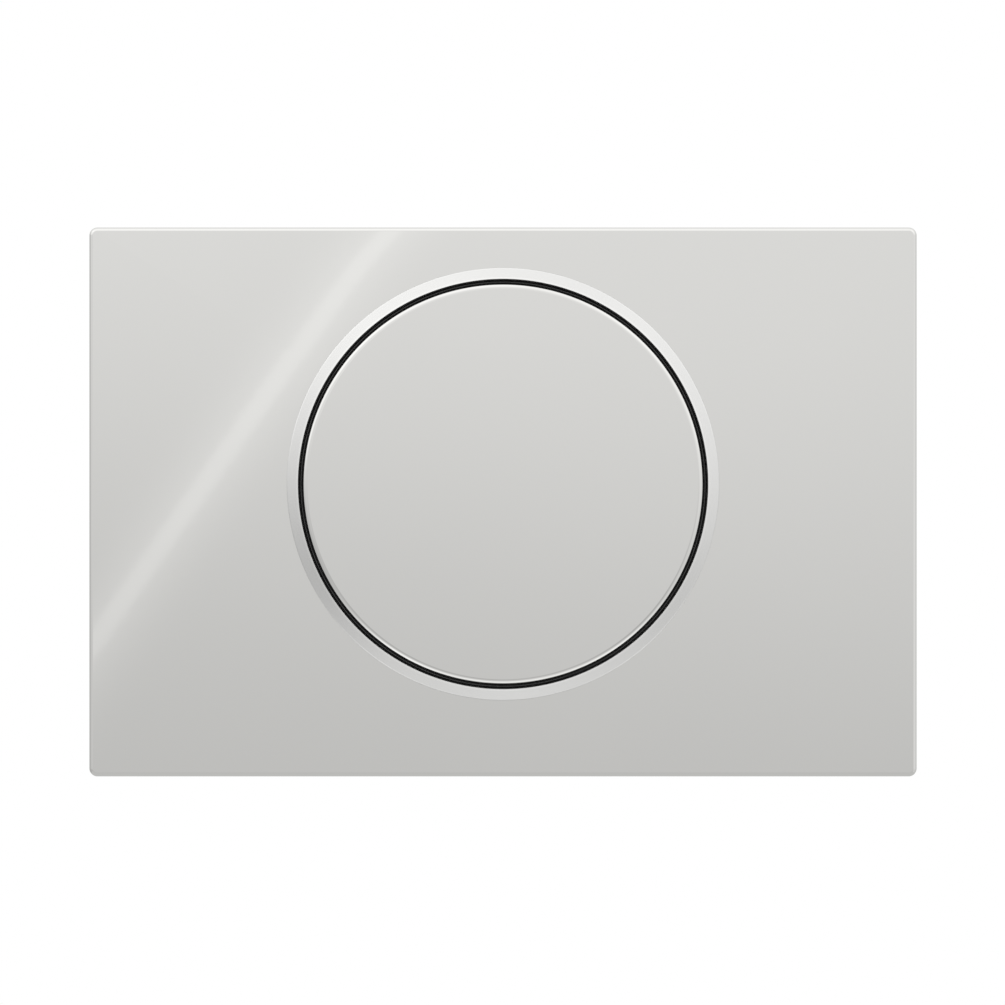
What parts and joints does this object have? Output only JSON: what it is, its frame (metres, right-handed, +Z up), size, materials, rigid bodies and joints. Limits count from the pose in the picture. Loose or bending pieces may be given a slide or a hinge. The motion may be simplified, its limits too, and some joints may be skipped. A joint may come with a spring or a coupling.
{
  "type": "flush plate",
  "caption": "Rectangular wall flush plate with a large round push button in a raised satin ring, hinged at the top to press two push rods, on a fixing frame held by studs.",
  "frame": {"origin": "middle of the plate, on the finished wall (the back face of the fixing frame)", "axes": "+X to the right seen from the room, +Y into the wall, +Z up; the button faces -Y"},
  "size_m": [0.246, 0.081, 0.1632],
  "materials": {
    "gloss_plastic": "bright chrome plated over moulded plastic",
    "polished_chrome": "satin chrome",
    "dark_plastic": "fine matt black",
    "frame_plastic": "fine matt dark grey",
    "knob_plastic": "matt blue grey",
    "natural_plastic": "natural, slightly waxy",
    "bright_steel": "bright zinc plated",
    "spring_steel": "drawn spring wire",
    "rubber": "matt black rubber"
  },
  "bodies": {
    "mount": {"cover_plate": "gloss_plastic", "design_ring": "polished_chrome", "button_housing": "dark_plastic", "housing_screws": "bright_steel", "hinge_shaft": "bright_steel", "shaft_clips": "bright_steel", "fixing_frame": "frame_plastic", "rest_buffer_left": "rubber", "rest_buffer_right": "rubber", "guide_bush_left": "natural_plastic", "guide_bush_right": "natural_plastic", "stop_buffer_left": "rubber", "stop_buffer_right": "rubber", "fixing_stud_left": "bright_steel", "fixing_stud_right": "bright_steel", "stud_knob_left": "knob_plastic", "stud_knob_right": "knob_plastic", "return_spring_left": "spring_steel", "return_spring_right": "spring_steel"},
    "button": {"button_cap": "gloss_plastic", "button_rocker": "dark_plastic", "cap_screws": "bright_steel"},
    "left_rod": {"push_rod_left": "natural_plastic", "rod_adjuster_left": "knob_plastic", "rod_tip_left": "rubber"},
    "right_rod": {"push_rod_right": "natural_plastic", "rod_adjuster_right": "knob_plastic", "rod_tip_right": "rubber"}
  },
  "joints": [
    {"name": "button_press", "type": "hinge", "parent": "mount", "child": "button", "pos_m": [0, 0.0004, 0.05974], "axis": [1, 0, 0], "range_deg": [0, 3.5], "stiffness_Nm_per_rad": 6, "springref_deg": -4.58},
    {"name": "left_rod_slide", "type": "slide", "parent": "mount", "child": "left_rod", "axis": [0, 1, 0], "range_m": [0, 0.0046], "deforming": ["return_spring_left"]},
    {"name": "right_rod_slide", "type": "slide", "parent": "mount", "child": "right_rod", "axis": [0, 1, 0], "range_m": [0, 0.0046], "deforming": ["return_spring_right"]}
  ],
  "couplings": [
    {"joint": "left_rod_slide", "follows": "button_press", "m_per_rad": 0.071737},
    {"joint": "right_rod_slide", "follows": "button_press", "m_per_rad": 0.071737}
  ]
}
